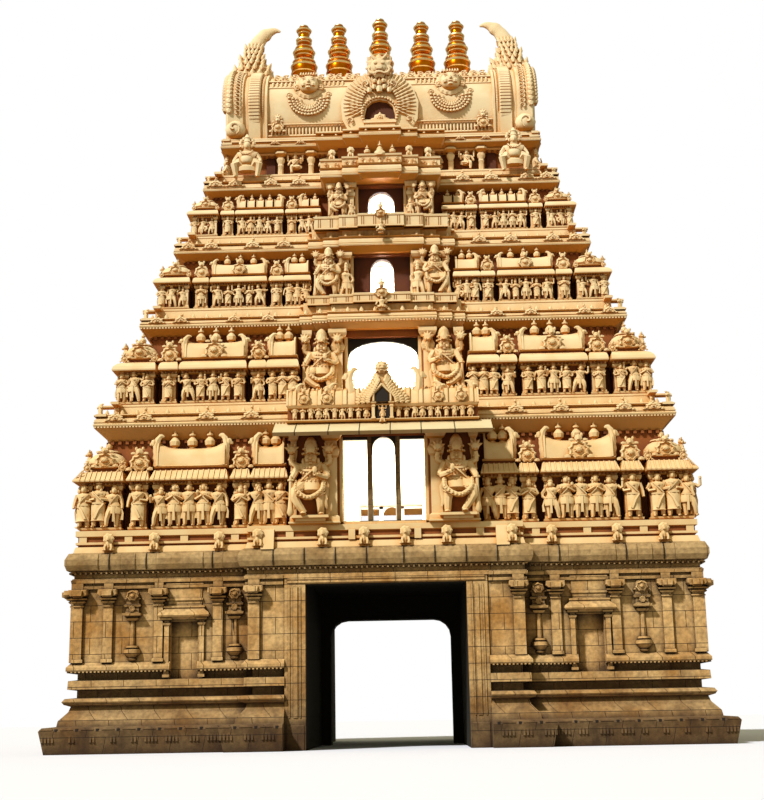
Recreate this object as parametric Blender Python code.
"""South Indian temple gateway tower: granite base with a passage, a hollow four-storey
stucco tower above it, and a barrel roof with horned ends and five finials.

Metres, +Z up, +X to the right seen from the front, front towards -Y.
Origin: middle of the plan, at ground level.
"""
import math

import bmesh
import bpy

GAP = 0.0003              # air between pieces that touch

# Granite base
BASE_X = 12.13            # half width of the wall plane
BASE_Y = 9.0              # half depth of the wall plane
BAY_X = 5.3               # half width of the projecting central bay
BAY_OUT = 0.5             # how far the central bay stands forward
BAY_PILASTER = 4.86       # near side of the pilaster on the bay's corner
DOOR_X = 3.1              # half width of the doorway
JAMB_X = 3.9              # outer face of the door jambs
DOOR_Z = 6.2              # height of the doorway
FRAME_DEEP = 0.9          # depth of a door frame
FRAME_PROUD = 0.08        # door frame in front of the bay's face
PLINTH_Z = 3.40
WALL_Z = 6.45
ARCHITRAVE_Z = 6.88
CORNICE_Z = 7.62
FOOT_Z = 8.50

PLINTH_PROFILE = (        # height, outset from the wall plane
    (0.0, 0.80), (0.30, 0.86), (0.86, 0.98), (0.98, 0.88), (1.02, 0.44), (1.23, 0.40),
    (1.56, 0.09), (1.76, 0.02), (1.83, 0.24), (1.93, 0.31), (2.05, 0.22), (2.09, -0.16),
    (2.36, -0.16), (2.40, 0.15), (2.72, 0.13), (2.76, -0.16), (3.02, -0.16), (3.08, 0.22),
    (3.22, 0.22), (PLINTH_Z, 0.06))
ARCHITRAVE_PROFILE = ((WALL_Z, 0.12), (6.60, 0.12), (6.63, 0.05), (6.80, 0.05), (6.83, 0.14),
                      (ARCHITRAVE_Z, 0.18))
CORNICE_PROFILE = (
    (ARCHITRAVE_Z, 0.12), (6.92, 0.30), (7.12, 0.38), (7.34, 0.38), (7.54, 0.28),
    (CORNICE_Z, 0.14))
FOOT_PROFILE = ((CORNICE_Z, 0.12), (7.86, 0.05), (7.88, -0.05), (7.94, -0.05), (7.96, 0.05),
                (8.04, 0.05), (8.07, -0.06), (8.24, -0.06), (8.28, 0.06), (FOOT_Z, 0.06))
PILASTER_OUT = 0.13
PILASTERS = ((11.80, 12.13), (10.62, 10.98), (8.66, 9.00), (6.34, 6.72))
SIDE_PILASTERS = ((8.62, 9.0), (6.1, 6.46), (3.7, 4.06), (1.3, 1.66))
NICHE_X = (7.30, 8.36)    # false door: near and far side
NICHE_Z = (2.74, 4.92)
NICHE_DEEP = 0.35
INNER_JAMB = 0.40         # the mid-passage frame stands this far into the passage
INNER_DOOR_Z = 5.45
INNER_CURVE = 0.75        # radius of its top corners
INNER_DEEP = 1.1

# Storeys of the tower
SIDE_SHORT = 3.2          # half depth is the half width less this
STOREYS = (
    dict(foot=FOOT_Z, eaves=10.56, roof=12.05, top=12.30, bay=12.10, wall=11.20, inside=9.95,
         open_x=1.75, open_z=12.02, porch=3.68, face=9.35, figure=2.83, figure_w=1.55),
    dict(foot=13.86, eaves=15.48, roof=16.95, top=17.10, bay=10.95, wall=9.80, inside=8.70,
         open_x=1.62, open_z=16.80, porch=3.32, face=6.95, figure=2.62, figure_w=1.35),
    dict(foot=18.36, eaves=19.63, roof=20.75, top=20.85, bay=9.60, wall=8.65, inside=7.65,
         open_x=1.37, open_z=20.78, porch=2.86, face=5.95, figure=2.22, figure_w=1.20),
    dict(foot=22.08, eaves=23.17, roof=24.18, top=24.25, bay=8.40, wall=7.60, inside=6.70,
         open_x=1.14, open_z=24.15, porch=2.35, face=5.60, figure=1.76, figure_w=0.95))
KUTA = 0.170              # corner shrine's width over the half width
SALAS = ((0.49, 0.745), (0.315, 0.41))       # barrel-roofed shrines on the front
PANJARA = (0.762, 0.808)  # narrow shrine beside the corner one
SIDE_SALA = (0.36, 0.64)  # on the sides, over the half depth, mirrored front to back
SIDE_MIDDLE = 0.16        # half width of the shrine in the middle of a side
# Levels of a shrine above its foot. Each row: share of wall, of eaves or of roof height,
# how far it stands out (1 is its wall), and the width left of barrel, domed and arch roofs.
EAVES_OUT = 0.26
ROOF_STEPS = ((0.0, 0.98, 1.0, 1.0), (0.42, 1.02, 1.0, 1.02), (0.78, 0.78, 0.96, 0.72),
              (1.0, 0.40, 0.90, 0.30))
EAVES_THICK = 0.12
SPRING = 0.36             # a shrine's roof springs this far above its eaves
FLUSH = 0.03              # what is left of a shrine where it dies into the wall
FIGURE_OUT = 0.50
# Guardian figure: share of its width at the foot and eaves, then at the four roof levels
FIGURE_FOOT = 0.92
FIGURE_EAVES = 1.0
FIGURE_WIDTHS = (0.95, 0.62, 0.40, 0.16)
LINING = 0.14             # side linings of the windows
POST = (0.48, 0.64)       # the two posts in the first storey's window
SILL = 0.12
REVEAL = 0.20             # the first window's frame, front to back
THIRD_ARCH = (0.50, 20.70)      # half width and crown of its arched opening
FOURTH_ARCH = (0.58, 24.00)
ARCH_WALL = (0.35, 0.65)  # its wall's front and back, behind the bay's face

# Cornice slabs: heights of the underside, the drip edge and the next storey's foot, half
# widths of the bed, the edge and the upper band, chambers below and above, and the eave's
# steps as (half width, front) pairs. Two carry a ledge in front of the bay above, given by
# its underside and top, its inner line and its own steps.
CORNICES = (
    dict(under=12.30, low=12.84, high=13.35, top=13.86, bed=11.25, edge=11.75, band=11.06,
         below=9.95, above=(8.70, 5.50),
         steps=((3.62, 8.60),)),
    dict(under=17.10, low=17.41, high=17.83, top=18.36, bed=9.85, edge=10.28, band=9.72,
         below=8.70, above=(7.65, 4.45),
         steps=((3.50, 7.20), (2.95, 7.35), (2.30, 7.50)),
         ledge=dict(low=18.16, high=18.60, inner=6.52,
                    steps=((3.15, 7.15), (2.20, 7.30), (1.20, 7.45)))),
    dict(under=20.85, low=21.09, high=21.57, top=22.08, bed=8.70, edge=9.11, band=8.50,
         below=7.65, above=(6.70, 3.50),
         steps=((3.20, 6.13), (2.55, 6.28), (1.85, 6.43)),
         ledge=dict(low=21.85, high=22.47, inner=6.17,
                    steps=((2.90, 6.35), (1.82, 6.50), (1.00, 6.65)))),
    dict(under=24.25, low=24.43, high=24.93, top=25.37, bed=7.65, edge=8.03, band=7.52,
         below=6.70, above=(5.85, 2.65),
         steps=((2.67, 6.07), (1.68, 6.31), (0.95, 6.55))),
    dict(under=26.62, low=26.80, high=27.08, top=27.28, bed=7.00, edge=7.35, band=7.25,
         below=5.85, above=(6.40, 2.90),
         steps=((2.95, 4.75), (1.70, 4.95), (0.95, 5.20))))
FLOOR_THICK = 0.45        # floor slab inside a cornice
STEP_BACK = 0.30          # the stepped bay is held back by this below and above its eave
LEDGE_BED = 0.6           # how far a ledge runs back into its slab
LEDGE_REVEAL = 0.03       # its kerb stands out from its bed
DRIP = 0.03               # height of the drip edge's lower chamfer
SLOPE_BACK = 0.28         # the slab's top edge is this far behind its drip edge

EAVE_X = 4.25             # first storey's sloping eave
EAVE_SECTION = ((-8.62, 12.30), (-9.38, 12.30), (-9.38, 12.20), (-10.74, 11.80),
                (-10.84, 11.93), (-9.75, 12.50), (-8.62, 12.50))
PORCH_X = 3.80            # barrel-roofed parapet above it
PORCH_SECTION = ((-8.62, 12.50), (-9.72, 12.50), (-9.72, 13.10), (-9.92, 13.14),
                 (-9.90, 13.30), (-9.98, 13.46), (-9.90, 13.70), (-9.62, 13.90),
                 (-9.25, 13.98), (-8.88, 13.90), (-8.62, 13.72))
PORCH_ARCH = 0.78         # radius of its central arch
PORCH_ARCH_Z = 13.82
PORCH_ARCH_FOOT = (1.05, 13.25)
PORCH_ARCH_Y = (10.08, 8.95)
PORCH_WING = ((1.18, 13.60), (1.86, 13.60), (1.72, 14.25), (1.42, 14.78), (1.20, 14.80),
              (1.30, 14.40))
PORCH_WING_Y = (9.55, 9.20)

NECK = dict(foot=25.37, top=26.62, wall=6.70, inside=5.85, open_x=0.60, porch=1.95, face=4.20)
NECK_CORNER = 1.35
NECK_PILLARS = ((4.42, 4.86), (3.12, 3.56))
NECK_SIDE_PILLAR = (0.9, 1.35)
NECK_OUT = 0.55

# Barrel roof
ROOF_FOOT = 27.28
ROOF_HALF = 3.72          # half depth at the springing
ROOF_BELLY = 0.26         # bulge past it
ROOF_BELLY_Z = 29.0
ROOF_TOP = 31.60
ROOF_THICK = 0.75
RIDGE_Z = 31.82
RIDGE_HALF = 0.50
VAULT_X = 5.20
END_X = 7.16
END_WALL = 0.70
END_RIBS = ((0.0, 0.10), (0.18, 0.24), (0.82, 0.16), (0.90, 0.30), (1.0, 0.22))
HORN_PATH = (             # place along X, height, half width
    (-6.30, 31.20, 0.92), (-6.34, 31.90, 1.00), (-6.36, 32.45, 1.04), (-6.42, 33.00, 0.76),
    (-6.40, 33.50, 0.54), (-6.28, 34.02, 0.40), (-6.00, 34.52, 0.33), (-5.62, 34.84, 0.25),
    (-5.28, 34.96, 0.15), (-5.02, 34.90, 0.05))
HORN_FLAT = 0.62          # front to back over side to side
HORN_SIDES = 8
NASI_X = 1.80             # central gable's half width
NASI_TOP = 31.32
NASI_FRONT = 4.52
NASI_OUTLINE = ((1.35, ROOF_FOOT), (1.72, 28.05), (NASI_X, 28.90), (1.55, 29.65),
                (1.05, 30.15), (0.63, 30.35), (0.62, 31.00), (0.42, NASI_TOP))
NASI_BACK = 2.2
NASI_NICHE = 0.70         # radius of its arch
NASI_NICHE_Z = (27.94, 28.24)
NASI_NICHE_DEEP = 0.35

FINIAL_X = (-3.83, -2.07, 0.0, 2.07, 3.83)
FINIAL_SCALE = (1.0, 1.0, 1.07, 1.0, 1.0)
FINIAL_PROFILE = (        # radius, height: a deep foot and four pots of falling size
    (0.50, 0.0), (0.54, 0.40), (0.66, 0.75), (0.67, 1.08), (0.58, 1.34), (0.40, 1.57),
    (0.50, 1.68), (0.56, 1.87), (0.51, 2.02), (0.34, 2.28), (0.40, 2.42), (0.39, 2.58),
    (0.30, 2.74), (0.29, 2.90), (0.38, 3.02), (0.36, 3.16), (0.21, 3.32), (0.06, 3.40))
FINIAL_SIDES = 10

FINISHES = {              # colour, roughness, metallic
    "granite": ((0.36, 0.25, 0.15, 1), 0.85, 0.0),
    "weathered_granite": ((0.28, 0.23, 0.16, 1), 0.9, 0.0),
    "stucco": ((0.86, 0.71, 0.42, 1), 0.8, 0.0),
    "eave_stone": ((0.74, 0.65, 0.47, 1), 0.8, 0.0),
    "gilt_copper": ((0.87, 0.42, 0.03, 1), 0.25, 1.0)}


def clear_scene():
    for thing in list(bpy.data.objects):
        bpy.data.objects.remove(thing, do_unlink=True)


def finish(name):
    """The material of that name, made once."""
    material = bpy.data.materials.get(name)
    if material is None:
        material = bpy.data.materials.new(name)
        material.use_nodes = True
        colour, roughness, metallic = FINISHES[name]
        shader = material.node_tree.nodes["Principled BSDF"]
        shader.inputs["Base Color"].default_value = colour
        shader.inputs["Roughness"].default_value = roughness
        shader.inputs["Metallic"].default_value = metallic
    return material


def add_object(name, mesh_maker, material):
    """A new object from a bmesh, with its faces pointing outwards."""
    bmesh.ops.recalc_face_normals(mesh_maker, faces=mesh_maker.faces)
    mesh = bpy.data.meshes.new(name)
    mesh_maker.to_mesh(mesh)
    mesh_maker.free()
    mesh.materials.append(finish(material))
    thing = bpy.data.objects.new(name, mesh)
    bpy.context.scene.collection.objects.link(thing)
    return thing


def skin(rings):
    """A closed body through rings of points with the same number of points each."""
    maker = bmesh.new()
    rows = [[maker.verts.new(point) for point in ring] for ring in rings]
    for low, high in zip(rows, rows[1:]):
        for here in range(len(low)):
            there = (here + 1) % len(low)
            maker.faces.new((low[here], low[there], high[there], high[here]))
    maker.faces.new(list(reversed(rows[0])))
    maker.faces.new(rows[-1])
    return maker


def stack(name, levels, material):
    """A body lofted upwards through plan outlines: (height, [(x, y), ...]) each."""
    rings = [[(x, y, z) for x, y in outline] for z, outline in levels]
    return add_object(name, skin(rings), material)


def extrude_x(name, section, x0, x1, material):
    """A (y, z) section carried from x0 to x1."""
    rings = [[(x, y, z) for y, z in section] for x in (x0, x1)]
    return add_object(name, skin(rings), material)


def extrude_y(name, section, y0, y1, material):
    """An (x, z) section carried from y0 to y1."""
    rings = [[(x, y, z) for x, z in section] for y in (y0, y1)]
    return add_object(name, skin(rings), material)


def box(name, low, high, material):
    section = ((low[1], low[2]), (high[1], low[2]), (high[1], high[2]), (low[1], high[2]))
    return extrude_x(name, section, low[0], high[0], material)


def combine(thing, other, operation):
    """Boolean of two objects. The second one is left out of the model."""
    other.hide_render = True
    other.display_type = 'WIRE'
    change = thing.modifiers.new(other.name, 'BOOLEAN')
    change.operation = operation
    change.solver = 'EXACT'
    change.object = other


def mirror_x(outline, sign):
    """The outline for the left (sign -1) or the right side, drawn once for the right."""
    points = [(sign * x, y) for x, y in outline]
    return points if sign > 0 else list(reversed(points))


def front_and_back(points):
    """Adds the back of an outline to its front, which runs from the middle outwards."""
    return points + [(x, -y) for x, y in reversed(points)]


def arc(centre_x, centre_z, radius, start, end, steps):
    """Points along an arc, angles in degrees from +X."""
    angles = [math.radians(start + (end - start) * i / steps) for i in range(steps + 1)]
    return [(centre_x + radius * math.cos(a), centre_z + radius * math.sin(a)) for a in angles]


def base_outline(outset):
    """Right half of the base: stepped around the door frames, outset on its outer sides."""
    back = BASE_Y + BAY_OUT - FRAME_DEEP + FRAME_PROUD
    bay_face = -(BASE_Y + BAY_OUT + outset)
    wall_face = -(BASE_Y + outset)
    half = [(DOOR_X, -back), (JAMB_X, -back), (JAMB_X, bay_face), (BAY_X + outset, bay_face),
            (BAY_X + outset, wall_face), (BASE_X + outset, wall_face)]
    return front_and_back(half)


def pier_outline():
    """The wall above the plinth, with pilasters on all three outer sides."""
    back = BASE_Y + BAY_OUT - FRAME_DEEP + FRAME_PROUD
    bay_face = -(BASE_Y + BAY_OUT)
    half = [(DOOR_X, -back), (JAMB_X, -back), (JAMB_X, bay_face), (BAY_PILASTER, bay_face),
            (BAY_PILASTER, bay_face - PILASTER_OUT), (BAY_X, bay_face - PILASTER_OUT),
            (BAY_X, -BASE_Y)]
    for near, far in sorted((min(pair), max(pair)) for pair in PILASTERS):
        half.append((near, -BASE_Y))
        half.append((near, -BASE_Y - PILASTER_OUT))
        if far < BASE_X:
            half.append((far, -BASE_Y - PILASTER_OUT))
            half.append((far, -BASE_Y))
    corner = BASE_X + PILASTER_OUT
    half.append((corner, -BASE_Y - PILASTER_OUT))
    half.append((corner, -SIDE_PILASTERS[0][0]))
    half.append((BASE_X, -SIDE_PILASTERS[0][0]))
    for near, far in SIDE_PILASTERS[1:]:
        half += [(BASE_X, -far), (corner, -far), (corner, -near), (BASE_X, -near)]
    return front_and_back(half)


def niche_cutter(name, sign, side):
    """Block that hollows a false door in the front (side -1) or the back wall."""
    x0, x1 = sorted((sign * NICHE_X[0], sign * NICHE_X[1]))
    y0, y1 = sorted((side * (BASE_Y - NICHE_DEEP), side * (BASE_Y + 1.0)))
    return box(name, (x0, y0, NICHE_Z[0]), (x1, y1, NICHE_Z[1]), "granite")


def build_base():
    for side_name, sign in (("left", -1), ("right", 1)):
        levels = [(z - (GAP if z == PLINTH_Z else 0), mirror_x(base_outline(outset), sign))
                  for z, outset in PLINTH_PROFILE]
        plinth = stack("plinth_" + side_name, levels, "granite")
        outline = mirror_x(pier_outline(), sign)
        pier = stack("base_pier_" + side_name, [(PLINTH_Z, outline), (WALL_Z, outline)],
                     "granite")
        for face_name, side in (("front", -1), ("back", 1)):
            for thing in (plinth, pier):
                name = "_".join(("niche", thing.name, face_name))
                combine(thing, niche_cutter(name, sign, side), 'DIFFERENCE')


def door_frame(name, side):
    """Two jambs and a lintel, standing just in front of the bay."""
    outer = JAMB_X - GAP
    section = [(-outer, 0), (-DOOR_X, 0), (-DOOR_X, DOOR_Z), (DOOR_X, DOOR_Z), (DOOR_X, 0),
               (outer, 0), (outer, WALL_Z - GAP), (-outer, WALL_Z - GAP)]
    front = BASE_Y + BAY_OUT + FRAME_PROUD
    extrude_y(name, section, side * front, side * (front - FRAME_DEEP + GAP), "granite")


def inner_door_frame():
    """The frame half way through the passage, with rounded upper corners."""
    outer = DOOR_X - GAP
    clear = DOOR_X - INNER_JAMB
    bend = INNER_CURVE
    right = arc(clear - bend, INNER_DOOR_Z - bend, bend, 0, 90, 4)
    left = [(-x, z) for x, z in right]
    section = [(outer, 0), (outer, WALL_Z - GAP), (-outer, WALL_Z - GAP), (-outer, 0),
               (-clear, 0)] + left + list(reversed(right)) + [(clear, 0)]
    extrude_y("inner_door_frame", section, -INNER_DEEP / 2, INNER_DEEP / 2, "granite")


def course_outline(half_x, half_y, outset):
    """Full plan of a course of the base, with its projecting bays."""
    wall_face = -(half_y + outset)
    bay_face = wall_face - BAY_OUT
    half = [(-half_x - outset, wall_face), (-BAY_X - outset, wall_face),
            (-BAY_X - outset, bay_face), (BAY_X + outset, bay_face),
            (BAY_X + outset, wall_face), (half_x + outset, wall_face)]
    return front_and_back(half)


def build_courses():
    courses = (("architrave", ARCHITRAVE_PROFILE, "granite"),
               ("base_cornice", CORNICE_PROFILE, "weathered_granite"),
               ("tower_foot", FOOT_PROFILE, "stucco"))
    for name, profile, material in courses:
        levels = [(z, course_outline(BASE_X, BASE_Y, outset)) for z, outset in profile]
        levels[-1] = (levels[-1][0] - GAP, levels[-1][1])
        course = stack(name, levels, material)
    inside_x = STOREYS[0]["inside"]
    hollow(course, (inside_x, inside_x - SIDE_SHORT), CORNICE_Z + 0.05, FOOT_Z + 1.0)


def shrine_points(near, far, wall_y, depth, width_share):
    """A bump on the front wall between two places along it."""
    middle = (near + far) / 2
    half = (far - near) / 2 * width_share
    face = -(wall_y + depth)
    return [(middle - half, -wall_y), (middle - half, face),
            (middle + half, face), (middle + half, -wall_y)]


def storey_outline(plan, out, barrel, dome, arch, figure, level_eaves):
    """Right half of a storey at one level: a C round the chamber, with its shrines."""
    wall = plan["wall"]
    wall_y = wall - SIDE_SHORT
    deep = plan["bay"] - wall
    reach = max(deep * out + level_eaves, FLUSH)
    grow = level_eaves if reach > FLUSH else 0
    width = plan["bay"]
    half = [(plan["open_x"], -(plan["face"]))]
    figure_half = plan["figure_w"] / 2 * figure
    figure_out = max(FIGURE_OUT * min(1.0, 1.5 * figure - 0.24), FLUSH)
    half += [(plan["figure"] - figure_half, -plan["face"]),
             (plan["figure"] - figure_half, -plan["face"] - figure_out),
             (plan["figure"] + figure_half, -plan["face"] - figure_out),
             (plan["figure"] + figure_half, -plan["face"]),
             (plan["porch"], -plan["face"]), (plan["porch"], -wall_y)]
    shrines = [(pair, barrel) for pair in SALAS] + [(PANJARA, arch)]
    for (near, far), share in sorted(shrines):
        half += shrine_points(near * width, far * width, wall_y, reach, share)
    kuta = KUTA * width
    centre = plan["bay"] - kuta / 2
    outer = max(centre + kuta / 2 * dome + grow, wall + FLUSH)
    outer = outer if out > 0 else wall + FLUSH
    inner = min(centre - kuta / 2 * min(dome, 1.0), wall - 0.05)
    half += [(inner, -wall_y), (inner, SIDE_SHORT - outer), (outer, SIDE_SHORT - outer),
             (outer, SIDE_SHORT - inner), (wall, SIDE_SHORT - inner)]
    side = []
    side_half = width - SIDE_SHORT
    points = shrine_points(SIDE_SALA[0] * side_half, SIDE_SALA[1] * side_half, wall, reach,
                           barrel)
    side += [(-y, -x) for x, y in reversed(points)]
    end = SIDE_MIDDLE * side_half
    side += [(wall, -end), (wall + reach, -end)]
    outline = front_and_back(half + side)
    inside_x = plan["inside"]
    inside_y = inside_x - SIDE_SHORT
    return outline + [(plan["open_x"], inside_y), (inside_x, inside_y),
                      (inside_x, -inside_y), (plan["open_x"], -inside_y)]


def storey_levels(plan):
    """Heights and shapes of a storey from its foot to the underside of its cornice."""
    eaves = plan["eaves"]
    spring = eaves + SPRING
    rise = plan["roof"] - spring
    rows = [(plan["foot"], 1, 1, 1, 1, FIGURE_FOOT, 0),
            (eaves, 1, 1, 1, 1, FIGURE_EAVES, 0),
            (eaves + EAVES_THICK, 1, 1, 1, 1.05, FIGURE_WIDTHS[0], EAVES_OUT)]
    for (share, out, barrel, round_roof), figure in zip(ROOF_STEPS, FIGURE_WIDTHS):
        rows.append((spring + share * rise, out, barrel, round_roof, round_roof, figure, 0))
    last = FIGURE_WIDTHS[-1]
    rows.append((plan["roof"] + 0.05, 0, 0.88, 0.05, 0.2, last, 0))
    rows.append((plan["top"] - GAP, 0, 0.88, 0.05, 0.2, last, 0))
    return rows


def build_storey(number, plan):
    for side_name, sign in (("left", -1), ("right", 1)):
        levels = []
        for z, out, barrel, dome, arch, figure, eaves in storey_levels(plan):
            outline = storey_outline(plan, out, barrel, dome, arch, figure, eaves)
            levels.append((z, mirror_x(outline, sign)))
        stack(f"storey_{number}_{side_name}", levels, "stucco")


def stepped_outline(half_x, half_y, steps, hold_back):
    """Full plan of a cornice: a rectangle whose middle steps forward in eaves."""
    left = [(-half_x, -half_y)]
    reach = half_y
    for step_x, step_y in steps:
        left.append((-step_x + hold_back / 2, -reach))
        reach = max(step_y - hold_back, reach + 0.02)
        left.append((-step_x + hold_back / 2, -reach))
    right = [(-x, y) for x, y in reversed(left)]
    return front_and_back(left + right)


def hollow(slab, half_size, low_z, high_z):
    """Cuts a chamber's plan out of a slab between two heights."""
    half_x, half_y = half_size
    cutter = box(f"{slab.name}_hollow_{len(slab.modifiers)}", (-half_x, -half_y, low_z),
                 (half_x, half_y, high_z), "stucco")
    combine(slab, cutter, 'DIFFERENCE')


def build_cornice(name, plan):
    edge_rows = (
        (plan["under"], plan["bed"], STEP_BACK),
        (plan["low"] - DRIP, plan["edge"] - 0.05, 0.06),
        (plan["low"], plan["edge"], 0.0),
        ((plan["low"] + plan["high"]) / 2, plan["edge"] - 0.02, 0.0),
        (plan["high"], plan["edge"] - SLOPE_BACK, STEP_BACK * 0.7),
        (plan["high"] + 0.02, plan["band"] + 0.04, STEP_BACK),
        (plan["top"] - GAP, plan["band"], STEP_BACK))
    levels = [(z, stepped_outline(half, half - SIDE_SHORT, plan["steps"], hold))
              for z, half, hold in edge_rows]
    slab = stack(name, levels, "stucco")
    below = (plan["below"], plan["below"] - SIDE_SHORT)
    if "ledge" in plan:
        for side in (-1, 1):
            add_ledge(slab, plan, side)
    hollow(slab, below, plan["under"] - 1.0, plan["high"] - FLOOR_THICK)
    hollow(slab, plan["above"], plan["high"], plan["top"] + 1.0)


def ledge_course(name, steps, side, inner, levels):
    """One course of a stepped ledge, from its inner line forwards, between two heights."""
    left = []
    reach = inner
    for step_x, step_y in steps:
        left += [(-step_x, -reach), (-step_x, -step_y)]
        reach = step_y
    outline = left + [(-x, y) for x, y in reversed(left)]
    if side > 0:
        outline = [(-x, -y) for x, y in outline]
    return stack(name, [(z, outline) for z in levels], "stucco")


def add_ledge(slab, plan, side):
    """The stepped ledge in front of the bay that stands on a slab: a bed and a kerb."""
    edge = plan["ledge"]
    low, high, inner = edge["low"], edge["high"], edge["inner"]
    bed_steps = [(x - LEDGE_REVEAL, y - LEDGE_REVEAL) for x, y in edge["steps"]]
    bed = ledge_course(f"{slab.name}_bed_{side}", bed_steps, side, inner - LEDGE_BED,
                       (low + LEDGE_REVEAL, plan["top"] - LEDGE_REVEAL))
    kerb = ledge_course(f"{slab.name}_kerb_{side}", edge["steps"], side, inner, (low, high))
    combine(slab, bed, 'UNION')
    combine(slab, kerb, 'UNION')


def window_frame(name, plan, side):
    """First storey: a framed opening with two slender posts."""
    half = plan["open_x"] - GAP
    front = plan["face"] - 0.05
    back = plan["inside"] - SIDE_SHORT
    foot = plan["foot"]
    inner, outer = POST
    bars = ((-half, -half + LINING), (-outer, -inner), (inner, outer), (half - LINING, half))
    section = [(-half, foot), (half, foot), (half, plan["top"] - GAP),
               (-half, plan["top"] - GAP)]
    frame = extrude_y(name, section, side * front, side * back, "stucco")
    sill = foot + SILL
    lights = (side * (front - REVEAL - 0.02), side * (front + 1))
    for number, (left, right) in enumerate(zip(bars, bars[1:])):
        low = (left[1], min(lights), sill)
        high = (right[0], max(lights), plan["open_z"])
        light = box(f"{name}_light_{number}", low, high, "stucco")
        combine(frame, light, 'DIFFERENCE')
    way = (side * (front - REVEAL), side * (back - 1))
    low = (-half + LINING, min(way), sill)
    high = (half - LINING, max(way), plan["open_z"])
    combine(frame, box(name + "_way", low, high, "stucco"), 'DIFFERENCE')


def plain_window(name, plan, side):
    """Second storey: an open bay under a deep lintel, with thin side linings."""
    half = plan["open_x"] - GAP
    clear = plan["open_x"] - LINING
    front = plan["face"] - 0.05
    back = plan["inside"] - SIDE_SHORT
    section = [(-half, plan["foot"]), (-clear, plan["foot"]), (-clear, plan["open_z"]),
               (clear, plan["open_z"]), (clear, plan["foot"]), (half, plan["foot"]),
               (half, plan["top"] - GAP), (-half, plan["top"] - GAP)]
    extrude_y(name, section, side * front, side * back, "stucco")


def arched_window(name, plan, side, arch_half, arch_z):
    """Upper storeys: a recess whose wall, a little behind the face, has an arched opening."""
    half = plan["open_x"] - GAP
    front = plan["face"] - 0.05
    back = plan["inside"] - SIDE_SHORT
    near, far = (plan["face"] - deep for deep in ARCH_WALL)
    top = plan["top"] - GAP
    section = [(side * back, plan["open_z"]), (side * far, plan["open_z"]),
               (side * far, plan["foot"]), (side * near, plan["foot"]),
               (side * near, plan["open_z"]), (side * front, plan["open_z"]),
               (side * front, top), (side * back, top)]
    recess = extrude_x(name, section, -half, half, "stucco")
    sill = plan["foot"] + 0.10
    hole = [(-arch_half, sill), (arch_half, sill)]
    hole += arc(0, arch_z - arch_half, arch_half, 0, 180, 8)
    cutter = extrude_y(name + "_arch", hole, side * (far - 0.5), side * (near + 0.5), "stucco")
    combine(recess, cutter, 'DIFFERENCE')


def build_windows():
    for face_name, side in (("front", -1), ("back", 1)):
        window_frame(f"storey_1_{face_name}_window", STOREYS[0], side)
        plain_window(f"storey_2_{face_name}_window", STOREYS[1], side)
        arched_window(f"storey_3_{face_name}_window", STOREYS[2], side, *THIRD_ARCH)
        arched_window(f"storey_4_{face_name}_window", STOREYS[3], side, *FOURTH_ARCH)


def build_eaves():
    """First storey's sloping eave, and the barrel-roofed parapet that stands on it."""
    for face_name, side in (("front", -1), ("back", 1)):
        section = [(-side * y, z) for y, z in EAVE_SECTION]
        extrude_x(f"storey_1_{face_name}_eave", section, -EAVE_X, EAVE_X, "eave_stone")
        section = [(-side * y, z + GAP) for y, z in PORCH_SECTION]
        roof = extrude_x(f"{face_name}_porch_roof", section, -PORCH_X, PORCH_X, "stucco")
        foot_x, foot_z = PORCH_ARCH_FOOT
        fan = [(-foot_x, foot_z), (foot_x, foot_z)]
        fan += arc(0, PORCH_ARCH_Z, PORCH_ARCH, -10, 190, 10)
        near, far = (side * y for y in PORCH_ARCH_Y)
        combine(roof, extrude_y(roof.name + "_arch", fan, near, far, "stucco"), 'UNION')
        near, far = (side * y for y in PORCH_WING_Y)
        for hand, hand_name in ((-1, "left"), (1, "right")):
            section = [(hand * x, z) for x, z in PORCH_WING]
            wing = extrude_y(f"{roof.name}_wing_{hand_name}", section, near, far, "stucco")
            combine(roof, wing, 'UNION')


def neck_outline(pillar_out, corner):
    """Right half of the neck: corner figure and pillars against its wall."""
    wall = NECK["wall"]
    wall_y = wall - SIDE_SHORT
    reach = NECK_OUT * pillar_out
    outer = wall + NECK_OUT * corner
    inner = wall + NECK_OUT - NECK_CORNER * (0.5 + 0.5 * corner)
    half = [(NECK["open_x"], -NECK["face"]), (NECK["porch"], -NECK["face"]),
            (NECK["porch"], -wall_y)]
    for near, far in sorted(NECK_PILLARS):
        half += shrine_points(near, far, wall_y, reach, 1.0)
    half += [(inner, -wall_y), (inner, SIDE_SHORT - outer), (outer, SIDE_SHORT - outer),
             (outer, SIDE_SHORT - inner), (wall, SIDE_SHORT - inner)]
    points = shrine_points(NECK_SIDE_PILLAR[0], NECK_SIDE_PILLAR[1], wall, reach, 1.0)
    half += [(-y, -x) for x, y in reversed(points)]
    inside_x = NECK["inside"]
    inside_y = inside_x - SIDE_SHORT
    return front_and_back(half) + [(NECK["open_x"], inside_y), (inside_x, inside_y),
                                   (inside_x, -inside_y), (NECK["open_x"], -inside_y)]


def build_neck():
    foot = NECK["foot"]
    rows = ((foot, 0.9, 0.95), (foot + 0.55, 0.9, 1.0), (foot + 1.0, 0.7, 0.75),
            (NECK["top"] - 0.2, 0.7, 0.5), (NECK["top"] - GAP, 1.0, 0.5))
    for side_name, sign in (("left", -1), ("right", 1)):
        levels = [(z, mirror_x(neck_outline(pillar, corner), sign)) for z, pillar, corner in rows]
        stack("neck_" + side_name, levels, "stucco")


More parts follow.
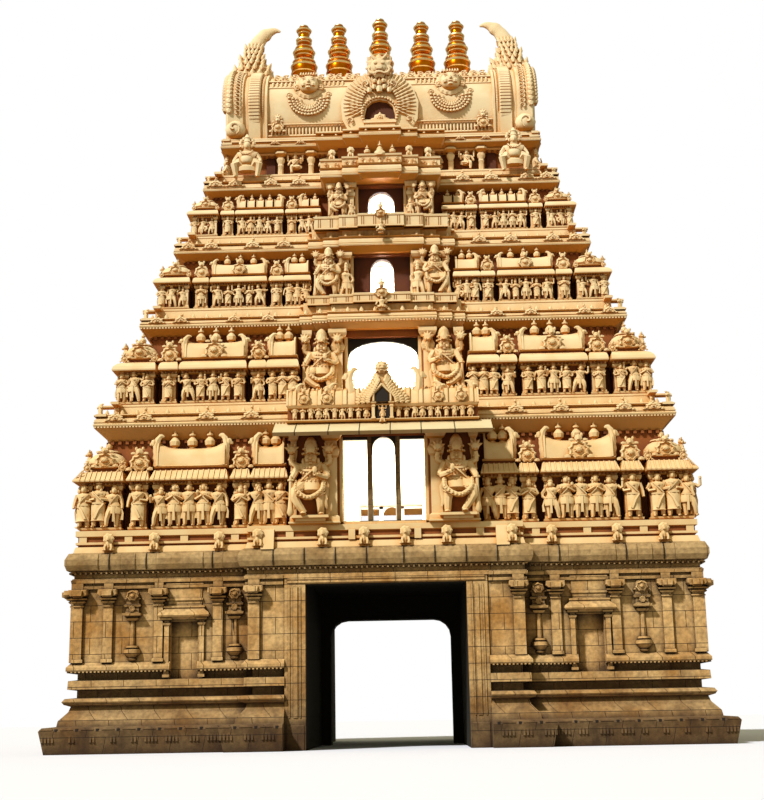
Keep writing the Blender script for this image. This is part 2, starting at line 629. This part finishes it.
def roof_outline(grow, steps, thick=0.0):
    """Half of the barrel's section, (y, z) from the foot to the top, offset by grow."""
    belly = ROOF_HALF + ROOF_BELLY + grow - thick
    top = ROOF_TOP + grow - thick
    points = [(ROOF_HALF + grow - thick, ROOF_FOOT), (belly - 0.07, (ROOF_FOOT + ROOF_BELLY_Z) / 2)]
    for i in range(steps + 1):
        angle = math.radians(84.0 * i / steps)
        points.append((belly * math.cos(angle) ** 0.92,
                       ROOF_BELLY_Z + (top - ROOF_BELLY_Z) * math.sin(angle)))
    return points


def both_sides(half):
    return half + [(-y, z) for y, z in reversed(half)]


def build_roof():
    outer = roof_outline(0.0, 7)
    ridge = [(RIDGE_HALF, ROOF_TOP - 0.02), (RIDGE_HALF, RIDGE_Z)]
    inner = roof_outline(0.0, 4, ROOF_THICK)
    section = both_sides(outer[:-1] + ridge) + list(reversed(both_sides(inner)))
    extrude_x("roof_vault", section, -VAULT_X, VAULT_X, "stucco")
    for side_name, sign in (("left", -1), ("right", 1)):
        rings = []
        for share, grow in END_RIBS:
            x = sign * (VAULT_X + GAP + share * (END_X - VAULT_X))
            rings.append([(x, y, z) for y, z in both_sides(roof_outline(grow, 7))])
        end = add_object("roof_end_" + side_name, skin(rings), "stucco")
        hollow = extrude_x(end.name + "_hollow", both_sides(roof_outline(0.0, 4, ROOF_THICK)),
                           sign * (VAULT_X - 0.5), sign * (END_X - END_WALL), "stucco")
        hollow.location.z = -0.25
        combine(end, hollow, 'DIFFERENCE')
        combine(end, horn(end.name + "_horn", sign), 'UNION')


def horn(name, sign):
    """A curved, tapering horn on top of a gable end."""
    rings = []
    for i, (x, z, radius) in enumerate(HORN_PATH):
        x0, z0, _ = HORN_PATH[max(i - 1, 0)]
        x1, z1, _ = HORN_PATH[min(i + 1, len(HORN_PATH) - 1)]
        length = math.hypot(x1 - x0, z1 - z0)
        normal = ((z1 - z0) / length, -(x1 - x0) / length)
        ring = []
        for k in range(HORN_SIDES):
            angle = 2 * math.pi * k / HORN_SIDES
            reach = radius * math.cos(angle)
            ring.append((-sign * (x + normal[0] * reach),
                         HORN_FLAT * radius * math.sin(angle), z + normal[1] * reach))
        rings.append(ring)
    return add_object(name, skin(rings), "stucco")


def build_gables():
    """The central gables: arched plates against the barrel, each with a niche."""
    outline = list(NASI_OUTLINE) + [(-x, z) for x, z in reversed(NASI_OUTLINE)]
    barrel = both_sides(roof_outline(GAP, 7)[:-1] + [(RIDGE_HALF, ROOF_TOP)])
    barrel = [(barrel[0][0], ROOF_FOOT - 0.5)] + barrel + [(barrel[-1][0], ROOF_FOOT - 0.5)]
    for face_name, side in (("front", -1), ("back", 1)):
        gable = extrude_y(face_name + "_gable", outline, side * NASI_FRONT, side * NASI_BACK,
                          "stucco")
        cutter = extrude_x(gable.name + "_barrel", barrel, -3.0, 3.0, "stucco")
        combine(gable, cutter, 'DIFFERENCE')
        niche = [(-NASI_NICHE, NASI_NICHE_Z[0]), (NASI_NICHE, NASI_NICHE_Z[0])]
        niche += arc(0, NASI_NICHE_Z[1], NASI_NICHE, 0, 180, 6)
        hole = extrude_y(gable.name + "_niche", niche, side * (NASI_FRONT + 0.5),
                         side * (NASI_FRONT - NASI_NICHE_DEEP), "stucco")
        combine(gable, hole, 'DIFFERENCE')


def build_finials():
    for number, (x, scale) in enumerate(zip(FINIAL_X, FINIAL_SCALE), start=1):
        rings = []
        for radius, height in FINIAL_PROFILE:
            rings.append([(x + radius * math.cos(2 * math.pi * k / FINIAL_SIDES),
                           radius * math.sin(2 * math.pi * k / FINIAL_SIDES),
                           RIDGE_Z + GAP + height * scale) for k in range(FINIAL_SIDES)])
        pot = add_object(f"finial_{number}", skin(rings), "gilt_copper")
        pot.data.shade_smooth()


def main():
    clear_scene()
    build_base()
    door_frame("front_door_frame", -1)
    door_frame("back_door_frame", 1)
    inner_door_frame()
    build_courses()
    for number, plan in enumerate(STOREYS, start=1):
        build_storey(number, plan)
        build_cornice(f"storey_{number}_cornice", CORNICES[number - 1])
    build_windows()
    build_eaves()
    build_neck()
    build_cornice("neck_cornice", CORNICES[-1])
    build_roof()
    build_gables()
    build_finials()


main()
